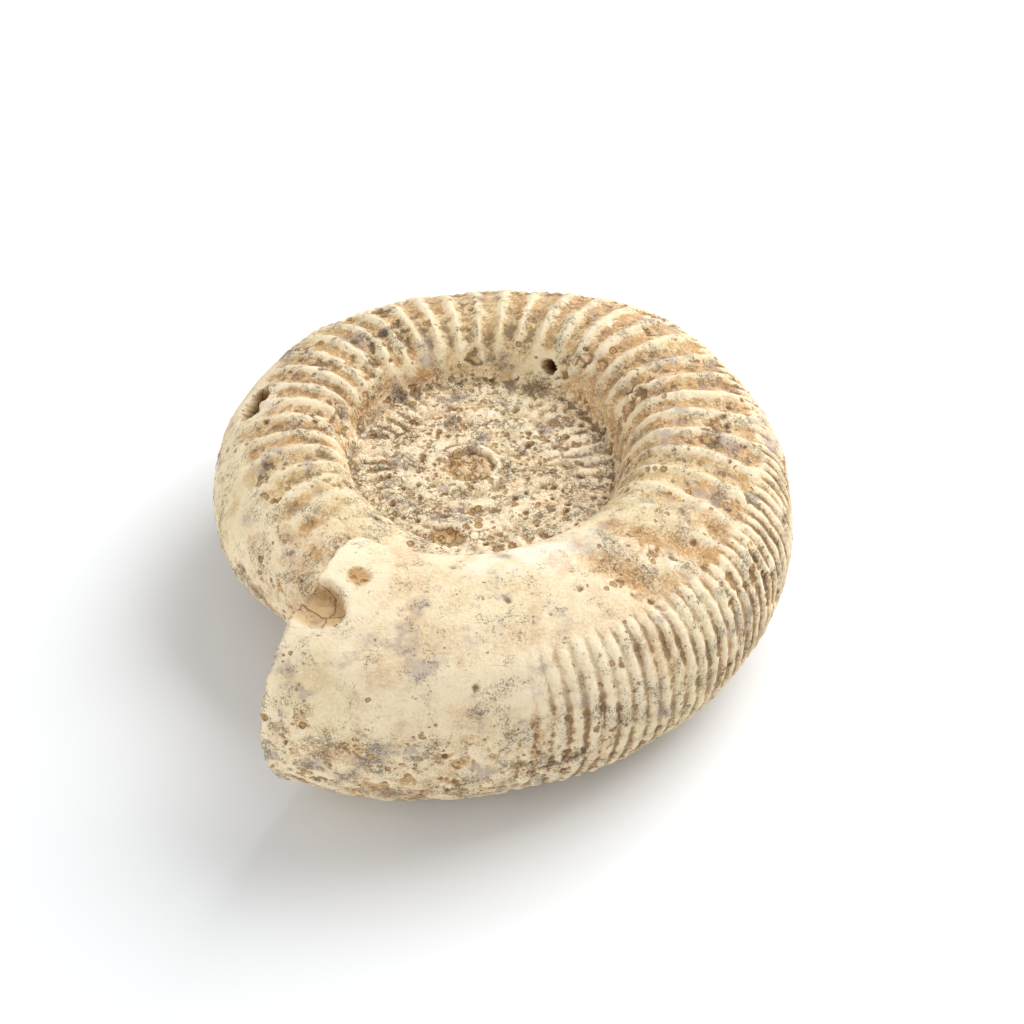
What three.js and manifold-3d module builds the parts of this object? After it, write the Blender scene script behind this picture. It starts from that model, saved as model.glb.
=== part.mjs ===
// A Jurassic ammonite fossil lying on its flank: one stone, coiled in a logarithmic spiral.
// Units are millimetres, +Z is up, and the origin is at the centre of the base.
// In the coil's own frame the coiling axis is Z and the mid-plane is z = 0. A growth angle of 0
// points to the front (-Y); it rises towards the mouth, which is clockwise seen from above.
import * as THREE from "three";
import { ParametricGeometry } from "three/addons/geometries/ParametricGeometry.js";
import { mergeVertices } from "three/addons/utils/BufferGeometryUtils.js";
import Module from "manifold-3d";

// The coil
const FRONT_RADIUS = 68; // outer radius of the last whorl where it faces the front
const WHORL_EXPANSION = 1.6; // growth of every radius in one full turn
const MOUTH_ANGLE = THREE.MathUtils.degToRad(27); // where the last whorl is broken off
const LAST_START = THREE.MathUtils.degToRad(-360); // where the ribbed tube of the last whorl starts
const OLD_START = THREE.MathUtils.degToRad(-780); // where the older, plain tube inside it starts

// Where the shell is squashed in or bulges out: growth angle, width and share of the radius
const SWELLS = [
  { at: THREE.MathUtils.degToRad(-187), width: THREE.MathUtils.degToRad(36), by: -0.042 },
  { at: THREE.MathUtils.degToRad(-140), width: THREE.MathUtils.degToRad(16), by: 0.025 },
  { at: THREE.MathUtils.degToRad(-286), width: THREE.MathUtils.degToRad(24), by: 0.032 },
];
const FLARE = 0.028; // the same by which the last whorl widens towards the break
const FLARE_SLOPE = [THREE.MathUtils.degToRad(-25), THREE.MathUtils.degToRad(25)];
const TURNS_PER_PIECE = 0.9; // under one turn, so that a piece never meets itself

// The whorl section, as shares of the outer radius
const HALF_HEIGHT = 0.275; // from the middle of the tube out to the venter
const HALF_WIDTH = 0.315; // from the mid-plane up to the flank
const OLD_HALF_WIDTH = 0.2; // the same on the older whorls, which are worn down
const WEAR_SLOPE = [THREE.MathUtils.degToRad(-365), THREE.MathUtils.degToRad(-275)]; // between the two
const SECTION_POWER = 0.85; // below 1 is squarer than an ellipse
const SHOULDER_BIAS = 0.15; // widens the inner side and narrows the venter

// The ribs
const RIBS_PER_TURN = 46;
const STEPS_PER_RIB = 3;
const RIB_HEIGHT = 0.019; // share of the outer radius
const RIB_START = [-0.85, -0.4]; // ribs rise between these on the inner flank, where 1 is the venter
const RIB_FADE = [THREE.MathUtils.degToRad(-40), THREE.MathUtils.degToRad(-5)]; // worn off near the mouth
const OLD_RIB_FADE = [THREE.MathUtils.degToRad(-322), THREE.MathUtils.degToRad(-290)];
const SECTION_POINTS = 16;
const OLD_STEP = THREE.MathUtils.degToRad(7);

// The stone that fills the navel of the coil, on both sides
const FILL_HEIGHT = 7.6; // above and below the mid-plane
const FILL_RADIUS = 30;
const FILL_EDGE = 3; // width of its sloping rim
const FILL_SIDES = 32;

// The chip beside the broken end, and the flat that the stone rests on
const CUTTER_SIZE = 200;
const CHIP_AT = new THREE.Vector3(-23.4, -51.5, 20.8);
const CHIP_RADIUS = new THREE.Vector3(4.5, 6.8, 4.5);
const TILT_X = THREE.MathUtils.degToRad(-2.2); // lays the wide end and the far side down together
const TILT_Y = THREE.MathUtils.degToRad(0.8);
const AXIS_AT = new THREE.Vector3(-6.06, 8.28, 20.2); // the middle of the coil above the base

const MERGE_WITHIN = 1e-3;

const wasm = await Module();
wasm.setup();

/** Turns a closed three.js geometry into a solid that can be joined and cut. */
function solid(geometry) {
  const bare = new THREE.BufferGeometry();
  bare.setAttribute("position", geometry.getAttribute("position").clone());
  bare.setIndex(geometry.index);
  const merged = mergeVertices(bare, MERGE_WITHIN);
  const corners = merged.index.array;
  const triVerts = [];
  for (let i = 0; i < corners.length; i += 3) {
    const [a, b, c] = corners.slice(i, i + 3);
    if (a !== b && b !== c && c !== a) triVerts.push(a, b, c);
  }
  const mesh = new wasm.Mesh({
    numProp: 3,
    vertProperties: merged.attributes.position.array,
    triVerts: new Uint32Array(triVerts),
  });
  return new wasm.Manifold(mesh);
}

/** Turns a solid back into a flat-shaded three.js geometry. */
function geometryOf(manifold) {
  const { numProp, vertProperties, triVerts } = manifold.getMesh();
  const interleaved = new THREE.InterleavedBuffer(vertProperties, numProp);
  const geometry = new THREE.BufferGeometry();
  geometry.setAttribute("position", new THREE.InterleavedBufferAttribute(interleaved, 3, 0));
  geometry.setIndex(new THREE.BufferAttribute(triVerts, 1));
  const faceted = geometry.toNonIndexed();
  faceted.computeVertexNormals();
  return faceted;
}

/** How far a rib stands out at a growth angle: 1 on a sound crest, 0 in a furrow or where worn away. */
function ribAt(angle) {
  const worn = 1 - THREE.MathUtils.smoothstep(angle, ...RIB_FADE);
  const sound = THREE.MathUtils.smoothstep(angle, ...OLD_RIB_FADE);
  const wave = 0.5 + 0.5 * Math.cos(angle * RIBS_PER_TURN);
  return wave * worn * sound;
}

/** The outer radius of the shell at a growth angle. */
function radiusAt(angle) {
  let share = 1 + FLARE * THREE.MathUtils.smoothstep(angle, ...FLARE_SLOPE);
  for (const { at, width, by } of SWELLS) share += by * Math.exp(-(((angle - at) / width) ** 2));
  return FRONT_RADIUS * WHORL_EXPANSION ** (angle / (2 * Math.PI)) * share;
}

/** A point on the tube at a growth angle and a turn around the section, where 0 is the venter. */
function tubePoint(angle, around, rib, target) {
  const radius = radiusAt(angle);
  const power = (value) => Math.sign(value) * Math.abs(value) ** SECTION_POWER;
  const outward = power(Math.cos(around));
  const upward = power(Math.sin(around));
  const onFlank = THREE.MathUtils.smoothstep(Math.cos(around), ...RIB_START);
  const halfWidth = THREE.MathUtils.lerp(
    OLD_HALF_WIDTH,
    HALF_WIDTH,
    THREE.MathUtils.smoothstep(angle, ...WEAR_SLOPE),
  );
  const swell = 1 + (rib * RIB_HEIGHT * onFlank) / HALF_HEIGHT;
  const fromAxis = radius * (1 - HALF_HEIGHT + HALF_HEIGHT * outward * swell);
  const height = radius * halfWidth * upward * (1 - SHOULDER_BIAS * outward) * swell;
  return target.set(-fromAxis * Math.sin(angle), -fromAxis * Math.cos(angle), height);
}

/** A closed length of tube between two growth angles, with a flat cap at each end. */
function tube(from, to, steps, ribbed) {
  const rows = steps + 2; // one more row at each end closes it on the middle of the section
  const place = (u, v, target) => {
    const row = Math.round(u * rows);
    const angle = from + (THREE.MathUtils.clamp(row - 1, 0, steps) * (to - from)) / steps;
    tubePoint(angle, -v * 2 * Math.PI, ribbed ? ribAt(angle) : 0, target);
    if (row === 0 || row === rows) {
      const middle = radiusAt(angle) * (1 - HALF_HEIGHT);
      target.set(-middle * Math.sin(angle), -middle * Math.cos(angle), 0);
    }
  };
  return solid(new ParametricGeometry(place, rows, SECTION_POINTS));
}

/** A long tube, joined cap to cap from pieces of whole steps. */
function coil(from, to, step, ribbed) {
  const pieces = Math.ceil((to - from) / (2 * Math.PI) / TURNS_PER_PIECE);
  const steps = Math.round((to - from) / step / pieces);
  const length = (to - from) / pieces;
  let whole = null;
  for (let i = 0; i < pieces; i++) {
    const piece = tube(from + i * length, from + (i + 1) * length, steps, ribbed);
    whole = whole ? whole.add(piece) : piece;
  }
  return whole;
}

/** The lens of stone in the navel, from one side of the coil to the other. */
function fill() {
  const rim = FILL_RADIUS + FILL_EDGE;
  const profile = [
    new THREE.Vector2(0, -FILL_HEIGHT),
    new THREE.Vector2(FILL_RADIUS, -FILL_HEIGHT),
    new THREE.Vector2(rim, -FILL_HEIGHT + FILL_EDGE),
    new THREE.Vector2(rim, FILL_HEIGHT - FILL_EDGE),
    new THREE.Vector2(FILL_RADIUS, FILL_HEIGHT),
    new THREE.Vector2(0, FILL_HEIGHT),
  ];
  const lens = new THREE.LatheGeometry(profile, FILL_SIDES);
  return solid(lens.rotateX(Math.PI / 2)); // a lathe turns about Y, and the coil about Z
}

/** A large box below the ground: whatever reaches into it is cut away. */
function ground() {
  const box = new THREE.BoxGeometry(CUTTER_SIZE, CUTTER_SIZE, CUTTER_SIZE);
  return solid(box.translate(0, 0, -CUTTER_SIZE / 2));
}

/** The scooped chip at the inner corner of the broken end. */
function chip() {
  const scoop = new THREE.IcosahedronGeometry(1, 2);
  scoop.scale(CHIP_RADIUS.x, CHIP_RADIUS.y, CHIP_RADIUS.z);
  return solid(scoop.translate(CHIP_AT.x, CHIP_AT.y, CHIP_AT.z));
}

/** The same solid, moved by a matrix. */
function moved(manifold, matrix) {
  return solid(geometryOf(manifold).applyMatrix4(matrix));
}

const ribStep = (2 * Math.PI) / RIBS_PER_TURN / STEPS_PER_RIB;
const lastWhorl = coil(LAST_START, MOUTH_ANGLE, ribStep, true);
const oldWhorls = coil(OLD_START, LAST_START, OLD_STEP, false);
const whole = oldWhorls.add(lastWhorl).add(fill()).subtract(chip());

const lie = new THREE.Matrix4().makeRotationFromEuler(new THREE.Euler(TILT_X, TILT_Y, 0, "YXZ"));
lie.setPosition(AXIS_AT);
const resting = moved(whole, lie).subtract(ground());

const stone = new THREE.MeshStandardMaterial({ color: 0xe6cfa8, roughness: 0.9, metalness: 0 });
const ammonite = new THREE.Mesh(geometryOf(resting), stone);
ammonite.name = "ammonite";

const part = new THREE.Group();
part.add(ammonite);

export default part;
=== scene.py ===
"""A Jurassic ammonite fossil lying on its flank, on a pale studio floor.

The fossil is one stone. It is modelled in millimetres in the coil's own frame, where the coiling
axis is Z, the mid-plane is z = 0, and a growth angle of 0 faces the front (-Y) and rises towards
the mouth, clockwise from above. It is then laid down and scaled to metres in the row's frame.
"""
import logging
import math
from dataclasses import dataclass, field
from enum import Enum
from typing import Callable, Sequence, Union

import bpy
import numpy as np
from mathutils import Euler, Matrix, Vector


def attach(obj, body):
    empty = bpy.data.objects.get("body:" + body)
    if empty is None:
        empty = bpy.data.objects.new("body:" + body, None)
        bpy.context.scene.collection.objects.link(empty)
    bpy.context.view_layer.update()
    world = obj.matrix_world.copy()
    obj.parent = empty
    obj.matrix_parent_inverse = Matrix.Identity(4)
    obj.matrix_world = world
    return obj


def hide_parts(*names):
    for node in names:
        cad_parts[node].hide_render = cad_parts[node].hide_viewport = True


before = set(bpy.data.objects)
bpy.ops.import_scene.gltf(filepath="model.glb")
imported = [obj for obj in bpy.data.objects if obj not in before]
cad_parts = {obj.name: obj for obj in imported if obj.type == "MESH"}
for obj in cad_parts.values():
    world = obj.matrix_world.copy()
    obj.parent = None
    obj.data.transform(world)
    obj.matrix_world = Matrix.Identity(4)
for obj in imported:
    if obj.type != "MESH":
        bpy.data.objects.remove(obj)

LOG = logging.getLogger("ammonite")
MM = 0.001
TURN = 2 * math.pi
TINY = 1e-6
EVEN = (1.0, 1.0, 1.0)  # the same grain along every axis
APART = (17.3, -31.7, 53.1)  # how far apart the patterns of two seeds lie
MERGE_WITHIN = 0.01  # in millimetres
MASKS = (  # stored on the stone's points for its finish
    *("navel", "worn", "face", "core", "furrow", "crust", "rim"),
    *("flake", "pit", "hollow", "hole_shade", "relief", "edge"),
)

Socket = bpy.types.NodeSocket
Number = Union[float, int, "Field"]


class Blend(Enum):
    """Ways in which a value is carried from one range to another."""

    LINEAR = "LINEAR"
    SMOOTH = "SMOOTHSTEP"


class Domain(Enum):
    """Kinds of node tree that the maths below is written in."""

    GEOMETRY = "GeometryNodeTree"
    SHADER = "ShaderNodeTree"


# ---------------------------------------------------------------- node maths


def operator(operation: str, swapped: bool = False) -> Callable[..., "Field"]:
    """Makes a method that applies a maths operation to a field.

    Args:
        operation: The maths node's operation.
        swapped: Whether the field comes last.

    Returns:
        The method, which takes the other operands.
    """

    def applied(self: "Field", *others: Number) -> "Field":
        """Applies the operation."""
        return maths(self.tree, operation, *((*others, self) if swapped else (self, *others)))

    return applied


@dataclass(frozen=True)
class Field:
    """A value that varies over the surface, inside a node tree.

    Attributes:
        tree: The node tree that the value belongs to.
        socket: The output socket that carries it.
    """

    tree: bpy.types.NodeTree
    socket: Socket

    __add__ = __radd__ = operator("ADD")
    __sub__, __rsub__ = operator("SUBTRACT"), operator("SUBTRACT", swapped=True)
    __mul__ = __rmul__ = operator("MULTIPLY")
    __truediv__ = operator("DIVIDE")
    __pow__, __rpow__ = operator("POWER"), operator("POWER", swapped=True)
    __abs__ = operator("ABSOLUTE")
    sign = operator("SIGN")
    sin = operator("SINE")
    cos = operator("COSINE")
    log = operator("LOGARITHM")
    fract = operator("FRACT")  # what is left above the whole number below
    most = operator("MAXIMUM")  # the larger of two values
    above = operator("GREATER_THAN")  # 1 where this is larger, else 0

    def __neg__(self) -> "Field":
        """The negative."""
        return self * -1.0

    def signed_power(self, power: Number) -> "Field":
        """The absolute value raised to a power, with the sign kept."""
        return self.sign() * abs(self) ** power

    def ramp(self, low: Number, high: Number, start: Number = 0.0, end: Number = 1.0) -> "Field":
        """Carries low..high smoothly to start..end, held at both ends."""
        return carried(self, low, high, start, end, Blend.SMOOTH)

    def sweep(self, low: float, high: float, start: Number = 0.0, end: Number = 1.0) -> "Field":
        """The same as ramp, for an angle in radians and a range in degrees."""
        return self.ramp(math.radians(low), math.radians(high), start, end)

    def line(self, low: Number, high: Number, start: Number = 0.0, end: Number = 1.0) -> "Field":
        """Carries low..high evenly to start..end, held at both ends."""
        return carried(self, low, high, start, end, Blend.LINEAR)


def feed(tree: bpy.types.NodeTree, socket: Socket, value: object) -> None:
    """Links a field to an input socket, or sets the socket to a plain value.

    Args:
        tree: The node tree.
        socket: The input socket.
        value: A Field, a Socket or a plain value.
    """
    if isinstance(value, Field):
        tree.links.new(value.socket, socket)
    elif isinstance(value, bpy.types.NodeSocket):
        tree.links.new(value, socket)
    else:
        socket.default_value = value


def maths(tree: bpy.types.NodeTree, operation: str, *values: Number) -> Field:
    """Adds a maths node.

    Args:
        tree: The node tree.
        operation: The node's operation.
        *values: Up to three operands.

    Returns:
        The result.
    """
    node = tree.nodes.new("ShaderNodeMath")
    node.operation = operation
    for socket, value in zip(node.inputs, values):
        feed(tree, socket, value)
    return Field(tree, node.outputs[0])


def carried(value: Field, low: Number, high: Number, start: Number, end: Number, blend: Blend) -> Field:
    """Carries a value from one range to another with a Map Range node.

    Args:
        value: The value.
        low: Where the first range starts.
        high: Where the first range ends.
        start: The result at low.
        end: The result at high.
        blend: How it goes from one to the other.

    Returns:
        The result.
    """
    node = value.tree.nodes.new("ShaderNodeMapRange")
    node.interpolation_type = blend.value
    names = ("Value", "From Min", "From Max", "To Min", "To Max")
    for name, given in zip(names, (value, low, high, start, end)):
        feed(value.tree, node.inputs[name], given)
    return Field(value.tree, node.outputs[0])


def blended(share: Number, first: Number, second: Number, tree: bpy.types.NodeTree) -> Field:
    """Mixes two numbers: first at a share of 0, second at a share of 1."""
    node = tree.nodes.new("ShaderNodeMix")
    for socket, value in zip((node.inputs[0], node.inputs[2], node.inputs[3]), (share, first, second)):
        feed(tree, socket, value)
    return Field(tree, node.outputs[0])


def vector(tree: bpy.types.NodeTree, x: Number, y: Number, z: Number) -> Field:
    """Joins three numbers to a vector."""
    node = tree.nodes.new("ShaderNodeCombineXYZ")
    for socket, value in zip(node.inputs, (x, y, z)):
        feed(tree, socket, value)
    return Field(tree, node.outputs[0])


def parts(value: Field) -> tuple[Field, Field, Field]:
    """Splits a vector into its three numbers."""
    node = value.tree.nodes.new("ShaderNodeSeparateXYZ")
    feed(value.tree, node.inputs[0], value)
    return tuple(Field(value.tree, socket) for socket in node.outputs)


def vector_maths(operation: str, first: Field, second: object = None, factor: Number = None) -> Field:
    """Adds a vector maths node.

    Args:
        operation: The node's operation.
        first: The first vector.
        second: The second vector, if the operation has one.
        factor: The scale, if the operation has one.

    Returns:
        The result, a vector or a number.
    """
    node = first.tree.nodes.new("ShaderNodeVectorMath")
    node.operation = operation
    feed(first.tree, node.inputs[0], first)
    if second is not None:
        feed(first.tree, node.inputs[1], second)
    if factor is not None:
        feed(first.tree, node.inputs["Scale"], factor)
    live = [socket for socket in node.outputs if socket.enabled]
    return Field(first.tree, live[0])


def shifted(place: Field, seed: int, stretch: Sequence[float] = EVEN) -> Field:
    """A copy of a position, stretched and moved far away, so that a pattern on it differs.

    Args:
        place: The position.
        seed: Picks how far it moves.
        stretch: How many times finer the pattern is along each axis.

    Returns:
        The moved position.
    """
    node = place.tree.nodes.new("ShaderNodeVectorMath")
    node.operation = "MULTIPLY_ADD"
    feed(place.tree, node.inputs[0], place)
    node.inputs[1].default_value = tuple(stretch)
    node.inputs[2].default_value = tuple(step * seed for step in APART)
    return Field(place.tree, node.outputs[0])


def noise_node(
    place: Field, grain: float, seed: int, detail: float, rough: float, stretch: Sequence[float] = EVEN
) -> bpy.types.Node:
    """Adds a noise node.

    Args:
        place: The position.
        grain: The size of its clouds, in the position's units.
        seed: Picks the pattern.
        detail: How many finer layers it has.
        rough: How strong they are.
        stretch: How many times finer the pattern is along each axis.

    Returns:
        The node.
    """
    node = place.tree.nodes.new("ShaderNodeTexNoise")
    feed(place.tree, node.inputs["Vector"], shifted(place, seed, stretch))
    for name, value in (("Scale", 1.0 / grain), ("Detail", detail), ("Roughness", rough)):
        node.inputs[name].default_value = value
    return node


def noise(place: Field, grain: float, seed: int, detail: float = 3.0, rough: float = 0.55) -> Field:
    """Cloudy noise from 0 to 1, around 0.5."""
    return Field(place.tree, noise_node(place, grain, seed, detail, rough).outputs["Fac"])


def streaks(place: Field, stretch: Sequence[float], seed: int) -> Field:
    """The same noise drawn out, for scratches, with so many clouds to a millimetre along each axis."""
    return Field(place.tree, noise_node(place, 1.0, seed, 2.0, 0.5, stretch).outputs["Fac"])


def colour_noise(place: Field, grain: float, seed: int) -> Field:
    """A noise vector around zero, to warp a position with."""
    colour = Field(place.tree, noise_node(place, grain, seed, 2.0, 0.5).outputs["Color"])
    return vector_maths("SUBTRACT", colour, (0.5, 0.5, 0.5))


def warped(place: Field, grain: float, seed: int, by: float) -> Field:
    """A position that wanders, so that the cells laid out on it are irregular.

    Args:
        place: The position.
        grain: The size of its wanderings, in the position's units.
        seed: Picks them.
        by: How far it goes.

    Returns:
        The wandering position.
    """
    return vector_maths("ADD", place, vector_maths("SCALE", colour_noise(place, grain, seed), factor=by))


def cells(place: Field, size: float, seed: int, feature: str = "F1") -> tuple[Field, Field]:
    """Scattered cells.

    Args:
        place: The position.
        size: How far apart they are, in the position's units.
        seed: Picks the pattern.
        feature: "F1" to measure from their middles, or "DISTANCE_TO_EDGE".

    Returns:
        The distance in the position's units, and a random number from 0 to 1 for each cell.
    """
    node = place.tree.nodes.new("ShaderNodeTexVoronoi")
    node.feature = feature
    feed(place.tree, node.inputs["Vector"], shifted(place, seed))
    node.inputs["Scale"].default_value = 1.0 / size
    distance = Field(place.tree, node.outputs["Distance"]) * size
    if feature != "F1":
        return distance, distance
    pick, _, _ = parts(Field(place.tree, node.outputs["Color"]))
    return distance, pick


# ---------------------------------------------------------------- geometry trees


class Group:
    """A node group with named inputs that is built in code.

    Attributes:
        group: The node group.
        entry: The node that its inputs come from.
        exit: The node that its results go to.
    """

    def __init__(self, name: str, domain: Domain) -> None:
        """Starts an empty group.

        Args:
            name: The group's name.
            domain: The kind of node tree.
        """
        self.group = bpy.data.node_groups.new(name, domain.value)
        self.entry = self.group.nodes.new("NodeGroupInput")
        self.exit = self.group.nodes.new("NodeGroupOutput")

    def given(self, name: str, kind: str, value: object = None) -> Field:
        """Adds a named input.

        Args:
            name: Its name.
            kind: Its type: "Float", "Int", "Vector", "Material" or "Geometry".
            value: Its default, if it has one.

        Returns:
            The input.
        """
        made = self.group.interface.new_socket(name, in_out="INPUT", socket_type=f"NodeSocket{kind}")
        if value is not None:
            made.default_value = value
        return Field(self.group, self.entry.outputs[name])

    def result(self, name: str, kind: str, value: object) -> None:
        """Adds a named result."""
        self.group.interface.new_socket(name, in_out="OUTPUT", socket_type=f"NodeSocket{kind}")
        feed(self.group, self.exit.inputs[name], value)


class Tree(Group):
    """A Geometry Nodes tree."""

    def __init__(self, name: str) -> None:
        """Starts an empty tree."""
        super().__init__(name, Domain.GEOMETRY)

    def node(self, kind: str, **settings: object) -> bpy.types.Node:
        """Adds a node and sets its properties."""
        made = self.group.nodes.new(kind)
        for name, value in settings.items():
            setattr(made, name, value)
        return made

    def place(self) -> Field:
        """The position of each point."""
        return Field(self.group, self.node("GeometryNodeInputPosition").outputs[0])

    def normal(self) -> Field:
        """The normal of each point."""
        return Field(self.group, self.node("GeometryNodeInputNormal").outputs[0])

    def moved(self, geometry: Socket, place: Field = None, offset: Field = None) -> Socket:
        """Sets the points' position, or shifts them."""
        made = self.node("GeometryNodeSetPosition")
        feed(self.group, made.inputs["Geometry"], geometry)
        if place is not None:
            feed(self.group, made.inputs["Position"], place)
        if offset is not None:
            feed(self.group, made.inputs["Offset"], offset)
        return made.outputs[0]

    def stored(self, geometry: Socket, name: str, value: Field) -> Socket:
        """Stores a number on the points under a name."""
        made = self.node("GeometryNodeStoreNamedAttribute", data_type="FLOAT", domain="POINT")
        feed(self.group, made.inputs["Geometry"], geometry)
        made.inputs["Name"].default_value = name
        feed(self.group, made.inputs["Value"], value)
        return made.outputs[0]

    def captured(self, geometry: Socket, value: Field) -> tuple[Socket, Field]:
        """Holds a number on the points as it is now, before they move."""
        made = self.node("GeometryNodeCaptureAttribute", domain="POINT")
        made.capture_items.new("FLOAT", "Held")
        feed(self.group, made.inputs["Geometry"], geometry)
        feed(self.group, made.inputs["Held"], value)
        return made.outputs["Geometry"], Field(self.group, made.outputs["Held"])

    def softened(self, value: Field, passes: int) -> Field:
        """Averages a vector over neighbouring points, a number of times."""
        made = self.node("GeometryNodeBlurAttribute", data_type="FLOAT_VECTOR")
        feed(self.group, next(s for s in made.inputs if s.enabled and s.name == "Value"), value)
        made.inputs["Iterations"].default_value = passes
        return Field(self.group, next(s for s in made.outputs if s.enabled))

    def close(self, geometry: Socket) -> None:
        """Ends the tree: instances made real, and the material set that the modifier gives."""
        real = self.node("GeometryNodeRealizeInstances")
        feed(self.group, real.inputs["Geometry"], geometry)
        painted = self.node("GeometryNodeSetMaterial")
        feed(self.group, painted.inputs["Geometry"], real.outputs[0])
        feed(self.group, painted.inputs["Material"], self.given("Finish", "Material"))
        self.result("Geometry", "Geometry", painted.outputs[0])


def run_tree(tree: Tree, mesh: bpy.types.Mesh, finish: bpy.types.Material, name: str) -> bpy.types.Mesh:
    """Runs a geometry tree on a mesh and returns the result as a plain mesh.

    Args:
        tree: The tree.
        mesh: The mesh it starts from, which is then dropped.
        finish: The material that it sets.
        name: The new mesh's name.

    Returns:
        The new mesh.
    """
    holder = bpy.data.objects.new(name, mesh)
    bpy.context.scene.collection.objects.link(holder)
    modifier = holder.modifiers.new(name, "NODES")
    modifier.node_group = tree.group
    modifier[tree.group.interface.items_tree["Finish"].identifier] = finish
    return baked(holder, name)


def run_modifier(mesh: bpy.types.Mesh, kind: str, name: str, **settings: object) -> bpy.types.Mesh:
    """Applies one modifier to a mesh.

    Args:
        mesh: The mesh, which is then dropped.
        kind: The modifier's type.
        name: The new mesh's name.
        **settings: The modifier's settings.

    Returns:
        The new mesh.
    """
    holder = bpy.data.objects.new(name, mesh)
    bpy.context.scene.collection.objects.link(holder)
    modifier = holder.modifiers.new(name, kind)
    for key, value in settings.items():
        setattr(modifier, key, value)
    return baked(holder, name)


def baked(holder: bpy.types.Object, name: str) -> bpy.types.Mesh:
    """Turns an object with modifiers into a plain mesh, and drops the object.

    Args:
        holder: The object.
        name: The new mesh's name.

    Returns:
        The new mesh.
    """
    seen = holder.evaluated_get(bpy.context.evaluated_depsgraph_get())
    result = bpy.data.meshes.new_from_object(seen)
    result.name = name
    start = holder.data
    bpy.data.objects.remove(holder)
    bpy.data.meshes.remove(start)
    return result


# ---------------------------------------------------------------- the fossil's shape


@dataclass(frozen=True)
class Swell:
    """A stretch of the shell that is squashed in or bulges out.

    Attributes:
        at: Its growth angle, in degrees.
        width: Its width, in degrees.
        by: Share of the radius, negative where squashed in.
    """

    at: float
    width: float
    by: float


@dataclass(frozen=True)
class Whorl:
    """The rule of the coil, in millimetres, degrees and shares of the outer radius.

    Attributes:
        front_radius: Outer radius where the last whorl faces the front.
        expansion: Growth of every radius in a full turn.
        first: Growth angle where the last whorl starts.
        last: Growth angle where it is broken off.
        half_height: From the middle of the tube to the venter.
        half_width: From the mid-plane up to the flank.
        worn_half_width: The same where the older whorl is worn down.
        wear_slope: Growth angles up to which it is worn down and from which it is whole.
        power: Below 1 is squarer than an ellipse.
        shoulder: Widens the inner side and narrows the venter.
        seam: Where the navel starts, as a share of the outer radius.
        swells: Where the shell is squashed in or bulges out.
        flare: Share of the radius by which it widens towards the break.
        flare_slope: The growth angles between which it does.
    """

    front_radius: float = 68.0
    expansion: float = 1.6
    first: float = -360.0
    last: float = 27.0
    half_height: float = 0.275
    half_width: float = 0.315
    worn_half_width: float = 0.2
    wear_slope: tuple[float, float] = (-365.0, -275.0)
    power: float = 0.85
    shoulder: float = 0.15
    seam: float = 0.49
    swells: tuple[Swell, ...] = (
        Swell(-187.0, 36.0, -0.042),
        Swell(-140.0, 16.0, 0.025),
        Swell(-286.0, 24.0, 0.032),
    )
    flare: float = 0.028
    flare_slope: tuple[float, float] = (-25.0, 25.0)

    def radius(self, angle: Field) -> Field:
        """The outer radius at a growth angle in radians."""
        share = angle.sweep(*self.flare_slope, 1.0, 1.0 + self.flare)
        for swell in self.swells:
            off = (angle - math.radians(swell.at)) / math.radians(swell.width)
            share = share + (math.e ** -(off * off)) * swell.by
        return self.front_radius * (self.expansion ** (angle / TURN)) * share


@dataclass(frozen=True)
class Ribs:
    """The ribs: strong ones on the flank, each split in three over the venter.

    Attributes:
        per_turn: How many strong ribs there are to a turn.
        height: How far they stand out, as a share of the outer radius.
        branch: How far the grooves between the branches sink, the same way.
        branches: How many branches a rib splits into.
        split: Cosine around the section where a rib has split.
        rise: The same where it starts, on the inner flank.
        warp: How far they wander, in radians of growth.
        lean: How far they lean forward on the venter, the same way.
        flank_low: Growth angles between which the flank's ribs get low, and the share that is left.
        flank_fade: Growth angles between which the flank's ribs end.
        venter_fade: Growth angles between which the venter's ribs end.
        left_worn: Growth angles between which they are worn on the left, and the share that is left.
        old_fade: Growth angles between which they start, on the older whorl.
    """

    per_turn: int = 46
    height: float = 0.019
    branch: float = 0.0105
    branches: int = 3
    split: tuple[float, float] = (0.42, 0.66)
    rise: tuple[float, float] = (-0.92, -0.45)
    warp: float = 0.022
    lean: float = 0.03
    flank_low: tuple[float, float, float] = (-82.0, -46.0, 0.16)
    flank_fade: tuple[float, float] = (-48.0, -12.0)
    venter_fade: tuple[float, float] = (-22.0, -5.0)
    left_worn: tuple[float, float, float] = (-240.0, -222.0, 0.12)
    old_fade: tuple[float, float] = (-322.0, -290.0)


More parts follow.
